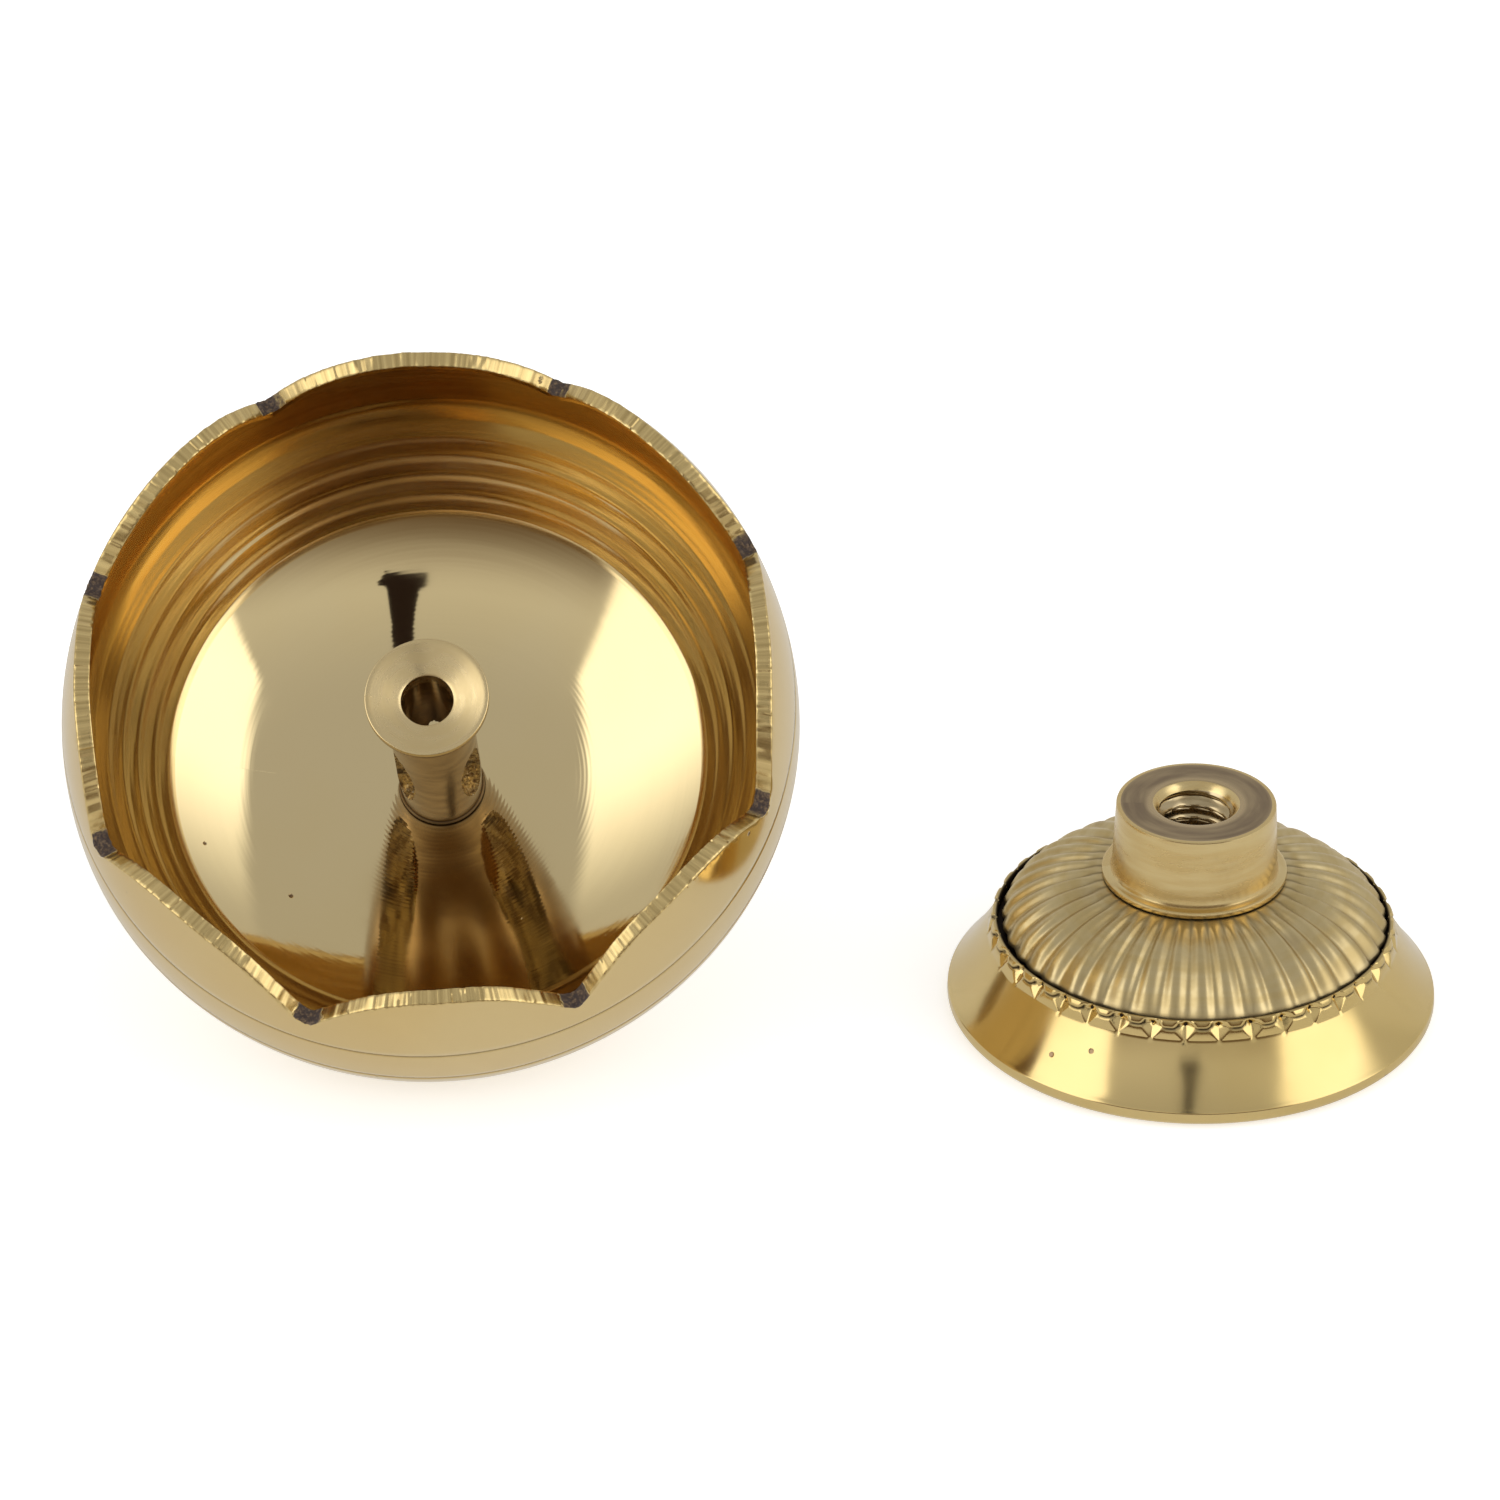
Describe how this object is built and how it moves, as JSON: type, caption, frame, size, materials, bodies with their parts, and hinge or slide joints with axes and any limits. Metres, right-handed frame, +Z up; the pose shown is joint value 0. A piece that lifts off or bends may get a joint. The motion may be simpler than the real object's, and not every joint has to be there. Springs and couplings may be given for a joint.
{
  "type": "oil lamp bowl",
  "caption": "Brass oil-lamp bowl with a scalloped lotus rim and a dished wick post, unscrewed and lying beside its fluted pedestal foot with threaded boss.",
  "frame": {"origin": "middle of the pair's bounding box, on the table top that both halves stand on", "axes": "+X from the loose bowl towards the foot, +Y away from the side that the bowl's mouth faces, +Z up"},
  "size_m": [0.1426, 0.0692, 0.0633],
  "materials": {
    "bowl_brass": "turned and mirror polished, filed matt on the rim",
    "post_brass": "satin turned, rough filed ports",
    "skirt_brass": "mirror polished, staked edge",
    "dome_brass": "satin brushed flutes",
    "boss_brass": "satin turned, tarnished top"
  },
  "bodies": {
    "foot": {"foot_skirt": "skirt_brass", "foot_dome": "dome_brass", "foot_boss": "boss_brass"},
    "bowl": {"bowl_shell": "bowl_brass"},
    "post": {"wick_post": "post_brass"}
  },
  "joints": [
    {"name": "bowl_lift", "type": "slide", "parent": "foot", "child": "bowl", "axis": [0, 0, 1], "range_m": [0, 0.08]},
    {"name": "post_draw", "type": "slide", "parent": "bowl", "child": "post", "axis": [-0.0246, -0.6396, 0.7683], "range_m": [0, 0.055]}
  ]
}
